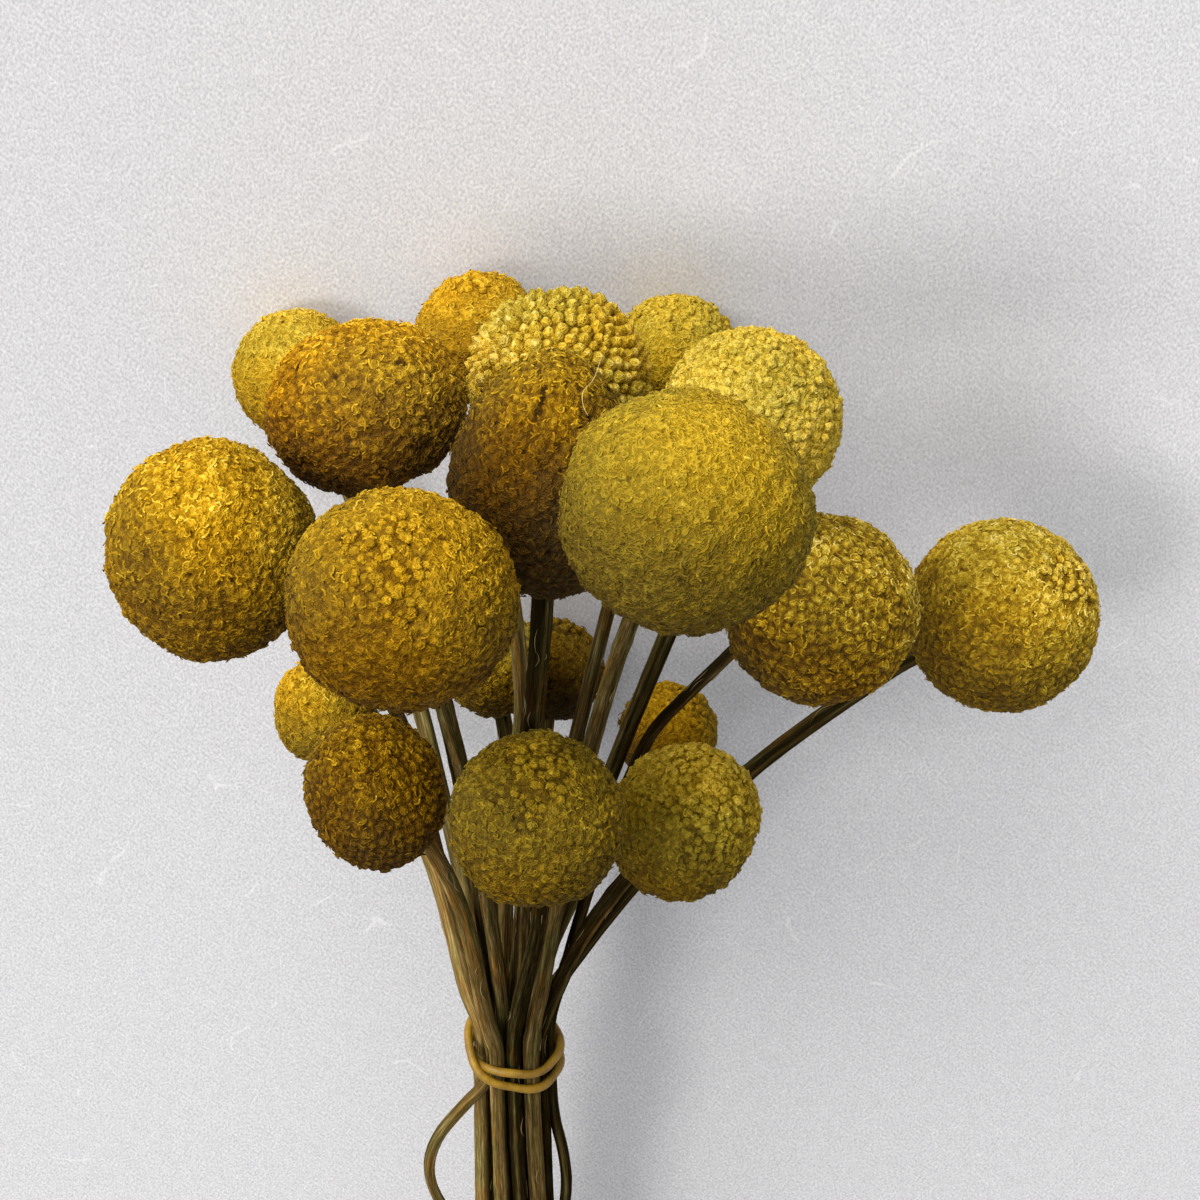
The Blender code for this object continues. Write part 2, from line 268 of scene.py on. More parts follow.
# The band. Its path is as the part has it, apart from its crossing, which is
# lower and wider, and how closely it hugs the stems.
BAND_SIDES = 12
BAND_STEPS = 264
STEM_PITCH = 2.85
STEM_CUT_WIDE = 2.55
BAND_FIT = 0.4
BAND_THICK = 1.6
BAND_APART = 4.5
BAND_OVER = 1.2
BAND_OVER_LONG = 0.45  # how far round its crossing takes, in radians
BAND_STEEP = 0.28  # less is a steeper change from one turn to the other
BAND_UP = 1.5
BAND_TILT = math.radians(-15)
BAND_CROSSING = math.radians(225)
BAND_ROUND = 0.33  # its corners are rounded over this angle
BAND_SNUG = 0.5  # closer round the stems than the part's solid
BAND_SEEN = 1.38  # stretched a little thinner than that solid
BAND_UNEVEN = 0.04
BAND_WAVES = 56.547  # of that unevenness, in radians over its whole length


# ---- reading the frame

def node_points(name):
    """The vertices of a CAD node, in metres, in the row frame."""
    mesh = frame["nodes"][name].data
    points = np.zeros(len(mesh.vertices) * 3)
    mesh.vertices.foreach_get("co", points)
    return points.reshape(-1, 3)


def stem_path(number):
    """The middles of a stem's rings, from its cut end up to its tip."""
    points = (node_points(f"stem_{number:02d}") - TIE) @ BUNCH
    points = points[np.argsort(points[:, 2])]
    breaks = np.nonzero(np.diff(points[:, 2]) > RINGS_APART * MM)[0] + 1
    rings = np.split(points, breaks)
    middles = [np.unique(ring.round(6), axis=0).mean(0) for ring in rings]
    return TIE + np.array(middles) @ BUNCH.T


class Head:
    """A head's middle, radii and own axes, fitted to its solid's bosses."""

    def __init__(self, number):
        self.number = number
        self.name = f"head_{number:02d}"
        path = stem_path(number)
        axis = path[-1] - path[-2]
        axis /= np.linalg.norm(axis)
        turn = Vector((0, 0, 1)).rotation_difference(Vector(axis @ BUNCH))
        self.axes = BUNCH @ np.array(turn.to_matrix())
        hull = bmesh.new()
        for point in node_points(self.name):
            hull.verts.new(point)
        bmesh.ops.convex_hull(hull, input=list(hull.verts))
        tops = np.array([v.co for v in hull.verts
                         if v.link_faces and v.co.z > FLAT_BELOW * MM])
        hull.free()
        local = tops @ self.axes / MM
        shift = local.mean(0)
        local -= shift
        rows = np.hstack((local ** 2, local))
        fit = np.linalg.lstsq(rows, np.ones(len(rows)), rcond=None)[0]
        middle = -fit[3:] / (2 * fit[:3])
        self.radii = np.sqrt((1 + (fit[:3] * middle ** 2).sum()) / fit[:3])
        self.centre = self.axes @ ((middle + shift) * MM)
        self.cap = math.radians(BUD_CAPS[number - 1])
        for entry in frame["record"]["subparts"]:
            if entry["node"] == self.name:
                self.slot = entry["material_slot"]

    def area(self):
        """Its surface in square millimetres, near enough."""
        power = 1.6                 # of the usual formula for an ellipsoid
        a, b, c = self.radii ** power
        return 4 * math.pi * ((a * b + a * c + b * c) / 3) ** (1 / power)

    def surface(self, directions):
        """Points of the ball, narrowed toward its apex, in millimetres."""
        narrow = 1 - TAPER.get(self.number, 0) * directions[:, 2:]
        same = np.ones_like(narrow)
        return directions * self.radii * np.hstack((narrow, narrow, same))

    def outward(self, directions):
        """The surface's normals at these directions from the middle."""
        return unit(directions / self.radii)

    def over(self, directions, high):
        """Points that high over the ball, in millimetres."""
        up = self.outward(directions)
        return self.surface(directions) + up * high[:, None]

    def place(self, points):
        """Points of the head's own frame, in millimetres, in the row frame."""
        return self.centre + points @ self.axes.T * MM


# ---- mesh helpers

def unit(vectors):
    """The vectors at a length of 1."""
    return vectors / np.linalg.norm(vectors, axis=-1, keepdims=True)


def spiral(count):
    """Directions spread evenly over a ball, from its top down."""
    steps = np.arange(count) + 0.5
    height = 1 - 2 * steps / count
    turn = steps * math.pi * (3 - math.sqrt(5))
    out = np.sqrt(1 - height ** 2)
    return np.stack((out * np.cos(turn), out * np.sin(turn), height), 1)


def across_axes(normals, rng):
    """Two axes square to each normal, at a random turn about it."""
    first = unit(np.cross(normals, rng.normal(size=normals.shape)))
    return first, np.cross(normals, first)


def ripple(directions, scale, rng):
    """A smooth random field over a ball, about -1 to 1."""
    total = np.zeros(len(directions))
    for _ in range(7):
        wave = unit(rng.normal(size=3)) * scale * rng.uniform(0.6, 1.5)
        total += np.sin(directions @ wave + rng.uniform(0, ROUND))
    return total / 3


def mesh_object(name, points, faces, marks=None, extra="thread", smooth=True):
    """A mesh object. marks drives its colours: three values for each vertex,
    and a fourth under the name `extra`."""
    mesh = bpy.data.meshes.new(name)
    mesh.from_pydata(points.tolist(), [], faces)
    if marks is not None:
        marks = marks.astype(np.float32)
        layer = mesh.attributes.new("marks", "FLOAT_VECTOR", "POINT")
        layer.data.foreach_set("vector", marks[:, :3].ravel())
        layer = mesh.attributes.new(extra, "FLOAT", "POINT")
        layer.data.foreach_set("value", marks[:, 3].copy())
    if smooth:
        mesh.shade_smooth()
    obj = bpy.data.objects.new(name, mesh)
    bpy.context.scene.collection.objects.link(obj)
    return obj


def shifted(faces, start):
    """The faces, with the number of every vertex raised by start."""
    return [tuple(start + v for v in face) for face in faces]


def repeated(faces, copies, each):
    """The faces of one item, again for every copy of its `each` vertices."""
    return [face for copy in range(copies)
            for face in shifted(faces, copy * each)]


# ---- florets

def smooth(values):
    """0 to 1 with soft ends."""
    values = np.clip(values, 0, 1)
    return values * values * (3 - 2 * values)


def clusters(head, apart, rng, shaken):
    """Even directions over a head, that far apart and shaken by that share."""
    ways = spiral(int(head.area() / (ROW_GAP * apart ** 2)))
    shake = shaken * apart / head.radii.mean()
    return unit(ways + rng.normal(0, shake, ways.shape))


class Florets:
    """A head's florets: points, faces and marks, and what they grow on."""

    def __init__(self, head):
        self.head = head
        self.rng = np.random.default_rng(SEED * 100 + head.number)
        self.crisp = CRISP.get(head.number, 1)
        self.kind = BUDS if head.number in IN_BUD else KNOBS
        self.edge = self.rng.uniform(0, ROUND, 2)
        self.middles = clusters(head, CLUSTER_APART, self.rng, CLUSTER_SHAKEN)
        self.middles = self.middles * head.radii
        self.points, self.faces, self.marks = [], [], []
        self.total = 0

    def off_splits(self, ways):
        """How far each direction is from the nearest split, in millimetres."""
        rel = self.head.surface(ways) @ self.head.axes.T
        seen = rel @ np.array(view_axes()).T
        off = np.full(len(ways), FAR)
        for start, end in SPLITS.get(self.head.number, ()):
            start, run = np.array(start), np.subtract(end, start)
            share = np.clip((seen[:, :2] - start) @ run / (run @ run), 0, 1)
            aside = seen[:, :2] - start - share[:, None] * run
            gap = np.linalg.norm(aside, axis=1)
            off = np.minimum(off, np.where(seen[:, 2] > 0, gap, FAR))
        return off

    def fall(self, ways):
        """The angle of each direction from the apex."""
        return np.arccos(np.clip(ways[:, 2], -1, 1))

    def in_bud(self, ways):
        """Which directions are still in bud, within a wavering edge."""
        turn = np.arctan2(ways[:, 1], ways[:, 0])
        soft = sum(size * np.sin(waves * turn + start)
                   for (waves, size), start in zip(EDGE_WAVES, self.edge))
        return self.fall(ways) < self.head.cap * (1 + soft)

    def lumps(self, ways):
        """0 in the creases between clusters of florets, 1 on their tops."""
        spots = ways * self.head.radii
        gaps = ((spots ** 2).sum(1)[:, None] + (self.middles ** 2).sum(1)
                - 2 * spots @ self.middles.T)
        near = np.partition(gaps, (0, 1), axis=1)[:, :2]
        near = np.sqrt(np.maximum(near, 0))
        return smooth((near[:, 1] - near[:, 0]) / (CLUSTER_APART * CREASE_WIDE))

    def clumps(self, ways):
        """Larger clumps of florets and the hollows between, about -1 to 1."""
        field = np.random.default_rng(SEED * 3 + self.head.number)
        return sum(size * ripple(ways, fine, field) for fine, size in CLUMPS)

    def height(self, ways):
        """How high the felt lies over the fitted ball, in millimetres."""
        field = np.random.default_rng(SEED * 7 + self.head.number)
        swell = sum(size * ripple(ways, fine, field) for fine, size in SWELLS)
        swell += CLUMP_HIGH * self.clumps(ways)
        return swell + CLUSTER_DEEP * (self.lumps(ways) - 1) - FELT_SUNK

    def shade(self, ways):
        """Painted light and shade, by the head: lighter on one side, darker
        toward the stem, where it is partly browner too, and in the hollows
        between clumps.
        """
        facing = ways @ self.head.axes.T @ unit(np.array(PAINTED_LIT_SIDE))
        front = FRONT_SHADES.get(self.head.number, FRONT_SHADE)
        lit_side = smooth((facing - LIT_SIDE_FROM) / LIT_SIDE_OVER)
        painted_light = front + (1 - front) * lit_side
        start, foot_shade = SHADOWED_FOOT.get(self.head.number, FOOT_BROWN_AND_SHADE)
        foot = smooth((self.fall(ways) - start) / FOOT_SPREAD)
        painted_light = painted_light * (1 + CLUMP_SHADE * self.crisp * self.clumps(ways))
        return HEAD_SHADE[self.head.number - 1] * painted_light * (1 - foot_shade * foot)

    def age(self, ways):
        """Patches that have dried browner, more of them near the stem."""
        field = np.random.default_rng(SEED + self.head.number)
        low = smooth((self.fall(ways) - AGE_FROM) / AGE_OVER)
        return (ripple(ways, AGE_FINE, field) + AGE_MORE * low
                + GREYED.get(self.head.number, 0))

    def add(self, points, tips, faces, ways, thread=0):
        """Adds one item a direction, with a tip mark for each of its points.
        thread marks a thread, which is painted darker down in a crease, as
        shade."""
        count, each = points.shape[:2]
        marks = np.empty((count, each, 4))
        tips = self.crisp * (np.array(tips) - MATTED_TO)
        marks[..., 0] = MATTED_TO + tips * np.where(tips > 0, TIPS_PALER, 1)
        own = ITEM_SHADE * self.crisp * self.rng.normal(size=count)
        shade = self.shade(ways) * (1 + own)
        # Painted shade: a thread down in a crease is darker.
        if thread:
            down = CREASE_LEVEL - self.lumps(ways)
            shade *= 1 - self.crisp * CREASE_SHADE * down
        marks[..., 1] = shade[:, None]
        old = self.age(ways) + self.rng.normal(0, ITEM_AGE, count)
        marks[..., 2] = old[:, None]
        marks[..., 3] = thread
        self.points.append(points.reshape(-1, 3))
        self.marks.append(marks.reshape(-1, 4))
        self.faces.extend(shifted(faces, self.total))
        self.total += count * each

    def add_ground(self):
        """The felt that the florets stand in, creased between clusters."""
        ball = bmesh.new()
        fine = 6 if self.head.radii.mean() > LARGE_HEAD else 5
        bmesh.ops.create_icosphere(ball, subdivisions=fine, radius=1)
        ways = np.array([v.co for v in ball.verts])
        faces = [tuple(v.index for v in f.verts) for f in ball.faces]
        ball.free()
        bud = self.in_bud(ways)
        high = self.height(ways) - self.kind.gap_deep * bud
        share = PIT_SHARE * 4 ** (6 - fine) * (1 + (PITS_IN_BUD - 1) * bud)
        pits = self.rng.random(len(ways)) < share
        high -= PIT_DEEP * pits
        # Painted shade: the felt is darker in its creases and between knobs and
        # buds, and darkest in its pits and splits.
        felt = FELT_TIPS[0] + FELT_TIPS[1] * self.lumps(ways)
        tips = np.where(bud, self.kind.gap_tip, felt)
        tips[pits] = 0
        split = self.off_splits(ways) < SPLIT_HALF
        high -= SPLIT_DEEP * split
        tips[split] = SPLIT_TIP
        places = self.head.over(ways, high)
        self.add(places[:, None], tips[:, None], faces, ways)

    def add_curls(self):
        """Curled threads all over the open part, half sunk in the felt."""
        apart = math.sqrt(1 / (ROW_GAP * CURLS_A_SQUARE))
        ways = clusters(self.head, apart, self.rng, CURL_SHAKEN)
        ways = ways[~self.in_bud(ways) & (self.off_splits(ways) > SPLIT_CLEAR)]
        if not len(ways):
            return
        up = self.head.outward(ways)
        spots = self.head.over(ways, self.height(ways))
        lean = unit(up + self.rng.normal(0, CURL_LEAN, up.shape))
        self.add(*curls(spots, lean, CURL_BULGE, 1, self.rng),
                 repeated(curl_faces(), len(ways), CURL_EACH), ways, 1)

    def add_buds(self):
        """Knobs round an apex, or tulip-shaped buds, in their own rows."""
        kind = self.kind
        ways = clusters(self.head, kind.apart, self.rng, kind.shaken)
        ways = ways[self.in_bud(ways) & (self.off_splits(ways) > SPLIT_CLEAR)]
        if not len(ways):
            return
        high = self.height(ways) - ITEM_SUNK
        high = high + self.rng.normal(0, ITEM_SUNK, len(ways))
        size = kind.apart / 2 * self.rng.uniform(*ITEM_SIZE, len(ways))
        feet = self.head.over(ways, high - kind.sunk)
        up = self.head.outward(ways)
        lean = up if kind is KNOBS else self.to_apex(up)
        self.add(*lathe(feet, lean, kind, size, self.rng),
                 lathe_faces(kind, len(ways)), ways)
        if kind is KNOBS:
            self.add_knob_curls(ways, feet, up)

    def to_apex(self, up):
        """These directions, leaning toward the apex by about as much."""
        apex = np.array((0, 0, 1)) - up * up[:, 2:]
        shake = self.rng.normal(0, BUD_TILT, up.shape)
        return unit(up + BUD_TO_APEX * apex + shake)

    def add_knob_curls(self, ways, feet, up):
        """A few curled threads on each knob."""
        own = np.repeat(np.arange(len(ways)), KNOB_CURLS)
        turn = self.rng.uniform(0, ROUND, len(own))
        first, second = across_axes(up, self.rng)
        side = (first[own] * np.cos(turn)[:, None]
                + second[own] * np.sin(turn)[:, None])
        out = self.rng.uniform(*KNOB_CURL_OUT, len(own))[:, None]
        high = KNOB_CURL_HIGH - out ** 2 * KNOB_CURL_FALL
        spots = feet[own] + side * out + up[own] * high
        lean = unit(up[own] + side * out * KNOB_CURL_LEAN)
        self.add(*curls(spots, lean, KNOB_BULGE, KNOB_CURL_SIZE, self.rng),
                 repeated(curl_faces(), len(own), CURL_EACH), ways[own], 1)


def lathe_faces(kind, count):
    """The faces of so many knobs or buds: rings, and a point on top."""
    rings, sides = len(kind.profile) - 1, kind.sides
    last = (rings - 1) * sides
    faces = tube_faces(rings, sides, caps=False)
    faces += [(last + s, last + (s + 1) % sides, last + sides)
              for s in range(sides)]
    return repeated(faces, count, rings * sides + 1)


def lathe(spots, normals, kind, size, rng):
    """A knob or a bud on each spot: their points and tip marks."""
    first, second = across_axes(normals, rng)
    size = size[:, None]
    rings, tips = [], []
    for height, wide, tip in kind.profile:
        middle = (spots + normals * (size * height))[:, None]
        if wide == 0:
            rings.append(middle)
            tips.append(tip)
            continue
        shape = len(spots), kind.sides
        wide = size * wide * (1 + kind.uneven * rng.normal(size=shape))
        rings.append(middle + rings_round(first, second, wide, kind.sides))
        tips += [tip] * kind.sides
    return np.concatenate(rings, 1), tips


def curl_faces():
    """A curl's faces: a point, rings of a left, a top and a right, a point."""
    faces = [(0, 1, 2), (0, 2, 3)]
    for left in range(1, 10, 3):
        faces += [(left, left + 3, left + 4, left + 1),
                  (left + 1, left + 4, left + 5, left + 2)]
    return faces + [(10, 13, 11), (11, 13, 12)]


def curls(spots, normals, bulge, size, rng):
    """Short threads curled over that radius, some into loops, one a spot."""
    count = len(spots)
    ahead, beside = across_axes(normals, rng)
    shape = (count, 1)
    length = rng.uniform(*CURL_LONG, shape) * size
    turning = rng.uniform(*CURL_TURNS, shape) * rng.choice((-1, 1), shape)
    half = rng.uniform(*CURL_HALF, shape)
    way = turning * (CURL_AT - 0.5)
    run = np.sin(way) * length / turning
    sway = (1 - np.cos(way)) * length / turning
    sway -= sway.mean(1, keepdims=True)
    up_end = np.where(rng.random(shape) < UP_END_SHARE,
                      rng.uniform(*UP_END, shape), 0)
    lean, roll = rng.normal(0, CURL_TILT, (2, count, 1))
    high = (rng.uniform(*CURL_PROUD, shape) + lean * run + roll * sway
            - (run ** 2 + sway ** 2) / (2 * bulge) + up_end * CURL_AT ** 2)
    line = (spots[:, None] + ahead[:, None] * run[..., None]
            + beside[:, None] * sway[..., None]
            + normals[:, None] * high[..., None])
    side = (beside[:, None] * np.cos(way)[..., None]
            - ahead[:, None] * np.sin(way)[..., None])
    side *= (half * CURL_WIDE)[..., None]
    sunk = normals * half * CURL_SUNK
    points = np.empty((count, CURL_EACH, 3))
    points[:, 0] = line[:, 0] - normals * half
    points[:, -1] = line[:, -1] - sunk * 0.5
    for step in range(1, 5):
        at = step * 3 - 2
        points[:, at] = line[:, step] - side[:, step] - sunk
        points[:, at + 1] = line[:, step]
        points[:, at + 2] = line[:, step] + side[:, step] - sunk
    return points, CURL_TIPS


def onto_head(head, seen):
    """Places right of and above a head's middle as the camera sees them, laid
    on its near side, in millimetres from that middle."""
    right, upward, towards = view_axes()
    across = seen @ np.array((right, upward))
    shape = head.axes / (head.radii + STRAY_PROUD)      # the ball's half-axes
    a, b = towards @ shape, across @ shape
    middle = -(b @ a) / (a @ a)
    span = 1 - (b ** 2).sum(1) + (a @ a) * middle ** 2
    out = middle + np.sqrt(np.maximum(span, 0) / (a @ a))
    return across + out[:, None] * towards


def make_strays(head):
    """Pale fibres that lie on a head, thinner at their ends."""
    points, faces = [], []
    for route in STRAYS.get(head.number, ()):
        curve = onto_head(head, resample(np.array(route), STRAY_STEP)[0])
        thick = STRAY_RADIUS - STRAY_THINS * np.linspace(-1, 1, len(curve)) ** 2
        rings = rings_round(*frames_along(curve), thick[:, None], STRAY_SIDES)
        start = len(points) * STRAY_SIDES
        points.extend(curve[:, None] + rings)
        faces += shifted(tube_faces(len(curve), STRAY_SIDES), start)
    if points:
        where = head.centre + np.array(points).reshape(-1, 3) * MM
        obj = mesh_object(f"{head.name}_strays", where, faces)
        obj.data.materials.append(stray_material())
        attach(obj, "root")


def make_head(head):
    """One head: its felt, the curled florets in it, and its apex buds."""
    florets = Florets(head)
    florets.add_ground()
    florets.add_curls()
    florets.add_buds()
    where = head.place(np.concatenate(florets.points))
    where[:, 2] = np.maximum(where[:, 2], HEAD_CLEAR * MM)
    obj = mesh_object(head.name + "_florets", where, florets.faces,
                      np.concatenate(florets.marks))
    obj.data.materials.append(head_material(head.slot))
    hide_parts(head.name)
    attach(obj, "root")


# ---- stems

def resample(points, step):
    """A smooth curve through the points at even steps, and its lengths."""
    gaps = np.linalg.norm(np.diff(points, axis=0), axis=1)
    along = np.concatenate(((0,), np.cumsum(gaps)))
    slopes = np.gradient(points, along, axis=0)
    count = max(int(round(along[-1] / step)), 2)
    wanted = np.linspace(0, along[-1], count + 1)
    at = np.clip(np.searchsorted(along, wanted, "right") - 1, 0, len(gaps) - 1)
    gap = gaps[at][:, None]
    t = ((wanted - along[at]) / gaps[at])[:, None]
    curve = ((2 * t ** 3 - 3 * t ** 2 + 1) * points[at]
             + (t ** 3 - 2 * t ** 2 + t) * gap * slopes[at]
             + (3 * t ** 2 - 2 * t ** 3) * points[at + 1]
             + (t ** 3 - t ** 2) * gap * slopes[at + 1])
    return curve, wanted


def frames_along(curve, closed=False):
    """Two axes square to the curve at each point, without a twist."""
    ahead = unit(np.gradient(curve, axis=0))
    if closed:
        ahead = unit(np.roll(curve, -1, 0) - np.roll(curve, 1, 0))
    side = unit(np.cross(ahead[0], (0.3, 0.2, 0.9)))
    sides = []
    for way in ahead:
        side = side - way * (side @ way)
        side = side / np.linalg.norm(side)
        sides.append(side)
    sides = np.array(sides)
    return sides, np.cross(ahead, sides)


def rings_round(one, two, radii, sides):
    """Rings about the middles of a curve with these side axes. radii has a
    value, or one for each side, to a ring."""
    turn = np.arange(sides) * 2 * math.pi / sides
    return radii[..., None] * (np.cos(turn)[None, :, None] * one[:, None]
                               + np.sin(turn)[None, :, None] * two[:, None])


def tube_faces(rings, sides, closed=False, caps=True):
    """The faces between rings of so many points, and over the two ends."""
    faces = []
    for ring in range(rings if closed else rings - 1):
        nxt = (ring + 1) % rings
        for side in range(sides):
            other = (side + 1) % sides
            faces.append((ring * sides + side, ring * sides + other,
                          nxt * sides + other, nxt * sides + side))
    if caps and not closed:
        faces.append(tuple(range(sides))[::-1])
        faces.append(tuple((rings - 1) * sides + s for s in range(sides)))
    return faces


def peeling_fibres(curve, one, two, radius, rng):
    """Thin fibres that have come loose along a stem: points and faces."""
    points, faces = [], []
    ahead = unit(np.gradient(curve, axis=0))
    for _ in range(int(len(curve) * STEM_STEP / FIBRE_APART)):
        at = rng.integers(3, len(curve) - 3)
        if rng.random() < FIBRE_AT_TIP:
            at = len(curve) - rng.integers(4, 14)
        turn = rng.uniform(0, 2 * math.pi)
        out = one[at] * math.cos(turn) + two[at] * math.sin(turn)
        side = np.cross(ahead[at], out)
        length = rng.uniform(*FIBRE_LONG)
        lift = rng.uniform(*FIBRE_LIFT) * (rng.random() < FIBRE_LIFTED) + 0.04
        sway = rng.normal(0, FIBRE_SWAY)
        start = len(points)
        for step in np.linspace(0, 1, 6):
            middle = (curve[at] + MM * (
                ahead[at] * length * (step - 0.5)
                + out * (radius + lift * (2 * step - 1) ** 2 - 0.02)
                + side * sway * math.sin(3 * step)))
            thick = FIBRE_RADIUS * MM * (1.15 - abs(2 * step - 1))
            points += [middle + thick * (out * math.cos(a) + side * math.sin(a))
                       for a in (0, 2.1, 4.2)]
        faces += shifted(tube_faces(6, 3), start)
    return np.array(points), faces


def tucked_in(points, outward, number):
    """0 to 1: how closely another stem covers these points of a stem, where its
    painted shade falls.
    """
    ahead = points + outward * TUCKED_OUT * MM
    near = np.full(len(points), FAR)
    for other in set(range(1, HEADS + 1)) - {number}:
        path = resample(STEM_PATHS[other], STEM_STEP * MM)[0]
        gaps = ((ahead ** 2).sum(1)[:, None] + (path ** 2).sum(1)
                - 2 * ahead @ path.T)
        near = np.minimum(near, np.sqrt(np.maximum(gaps.min(1), 0)) / MM)
    return smooth(1 - (near - TUCKED_NEAR) / TUCKED_OVER)


def stem_radius(number, curve):
    """The usual radius of a stem's solid, in millimetres, thinner if bent."""
    own = node_points(f"stem_{number:02d}")
    gaps = np.linalg.norm(own[:, None] - curve[None], axis=2)
    wide = np.median(gaps.min(1)) / MM
    wide = min(max(wide, STEM_RADIUS[0]), STEM_RADIUS[1])
    return wide * (BENT_THIN if number in BENT else 1)


def stem_outline(s, turn, rng):
    """A stem's outline at each length s, as shares of its radius, with how far
    each point is up a ridge or down a groove."""
    shape = np.ones((len(s), STEM_SIDES))
    drift = rng.uniform(-RIB_DRIFT, RIB_DRIFT) * s
    for ribs, size in zip((rng.integers(4, 7), 3, 2), RIB_SIZES):
        phase = rng.uniform(0, ROUND) + drift
        phase = phase + RIB_SWAY * np.sin(s / rng.uniform(*RIB_SWAY_LONG))
        shape *= 1 + size * np.cos(ribs * turn[None] + phase[:, None])
    ridge = (shape - 1) / RIB_HIGH + rng.normal(*RIDGE_SHIFT)
    ridge = np.minimum(ridge, RIDGE_MOST)
    swell = np.sin(s / SWELL_LONG + rng.uniform(0, 6))
    shape *= 1 + SWELL_SIZE * swell[:, None]
    shape *= 1 + ROUGH_SIZE * rng.normal(size=shape.shape)
    scars = np.cumsum(rng.uniform(*SCARS_APART, 8)) + SCARS_START
    worn = np.exp(-((s[:, None] - scars) / SCAR_LONG) ** 2).sum(1)
    return shape * (1 + SCAR_HIGH * worn[:, None]), ridge


def make_stem(number):
    """One stem: a ribbed rod with joint scars, weathered along its grain."""
    rng = np.random.default_rng(SEED * 200 + number)
    name = f"stem_{number:02d}"
    curve, along = resample(STEM_PATHS[number], STEM_STEP * MM)
    one, two = frames_along(curve)
    wide = stem_radius(number, curve)
    turn = np.arange(STEM_SIDES) * 2 * math.pi / STEM_SIDES
    s = along / MM
    shape, ridge = stem_outline(s, turn, rng)
    ring = rings_round(one, two, wide * shape * MM, STEM_SIDES)
    points = (curve[:, None] + ring).reshape(-1, 3)
    grain = np.cos(turn), np.sin(turn), (s / GRAIN_LONG)[:, None]
    grain = np.stack([np.broadcast_to(part, shape.shape) for part in grain], -1)
    grain = grain.reshape(-1, 3) + number * np.array(GRAIN_SHIFT)
    loose, loose_faces = peeling_fibres(curve, one, two, wide, rng)
    faces = tube_faces(len(s), STEM_SIDES) + shifted(loose_faces, len(points))
    marks = np.concatenate((grain, np.full(loose.shape, FIBRE_GRAIN)))
    outward = unit(ring.reshape(-1, 3))
    # The ridge mark paints shade: darker down the grooves and where another
    # stem covers it, lighter on the ribs as a painted highlight.
    ridge = ridge.ravel() - TUCKED_SHADE * tucked_in(points, outward, number)
    ridges = np.concatenate((ridge, np.full(len(loose), FIBRE_MARK)))
    points = np.concatenate((points, loose))
    points[:, 2] = np.maximum(points[:, 2], STEM_CLEAR * MM)
    obj = mesh_object(name + "_bark", points, faces,
                      np.hstack((marks, ridges[:, None])), extra="ridge")
    obj.data.materials.append(bark_material())
    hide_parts(name)
    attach(obj, "root")


# ---- band

def hexagon_reach(angle, beyond):
    """How far out the band's middle lies, hugging the six corner stems."""
    corner = 2 * STEM_PITCH
    sixth = math.pi / 3
    off = abs((angle + sixth / 2) % sixth - sixth / 2)
    arc_end = math.atan2(beyond * math.sin(sixth / 2),
                         corner + beyond * math.cos(sixth / 2))
    if off < arc_end:
        return (corner * math.cos(off)
                + math.sqrt(beyond ** 2 - (corner * math.sin(off)) ** 2))
    return (corner * math.cos(sixth / 2) + beyond) / math.cos(sixth / 2 - off)


def band_path(steps):
    """The middles of the band's strand, twice round the stems."""
    beyond = (STEM_CUT_WIDE + BAND_THICK) / 2 + BAND_FIT - BAND_SNUG
    spread = np.linspace(-BAND_ROUND, BAND_ROUND, 9)
    points = []
    for step in range(steps):
        along = 4 * math.pi * step / steps
        angle = along + BAND_CROSSING + math.pi
        reach = np.mean([hexagon_reach(angle + by, beyond) for by in spread])
        over = (along - math.pi) / BAND_OVER_LONG
        reach += BAND_OVER * math.exp(-over ** 2)
        turn = math.cos(along / 2)
        x, y = reach * math.cos(angle), reach * math.sin(angle)
        z = (BAND_UP + BAND_APART / 2 * turn / math.hypot(turn, BAND_STEEP)
             + x * math.tan(BAND_TILT))
        points.append((x, y, z))
    return TIE + np.array(points) * MM @ BUNCH.T


def make_band():
    """The rubber band, a soft strand wound twice round the stems."""
    curve = band_path(BAND_STEPS)
    one, two = frames_along(curve, closed=True)
    s = np.arange(BAND_STEPS) / BAND_STEPS
    radius = BAND_SEEN / 2 * (1 + BAND_UNEVEN * np.sin(s * BAND_WAVES))
    ring = rings_round(one, two, radius[:, None] * MM, BAND_SIDES)
    points = (curve[:, None] + ring).reshape(-1, 3)
    faces = tube_faces(BAND_STEPS, BAND_SIDES, closed=True)
    obj = mesh_object("band_strand", points, faces)
    obj.data.materials.append(band_material())
    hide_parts("band")
    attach(obj, "root")


# ---- materials

def colour(text):
    """A hex colour as linear RGBA."""
    values = [int(text[i:i + 2], 16) / 255 for i in (0, 2, 4)]
    return tuple(v / 12.92 if v <= 0.04045 else ((v + 0.055) / 1.055) ** 2.4
                 for v in values) + (1,)


def add(tree, kind, inputs=(), **settings):
    """A node with its settings, and values or links for its inputs."""
    node = tree.nodes.new(kind)
    for key, value in settings.items():
        setattr(node, key, value)
    for key, value in dict(inputs).items():
        if isinstance(value, bpy.types.NodeSocket):
            tree.links.new(value, node.inputs[key])
        else:
            node.inputs[key].default_value = value
    return node


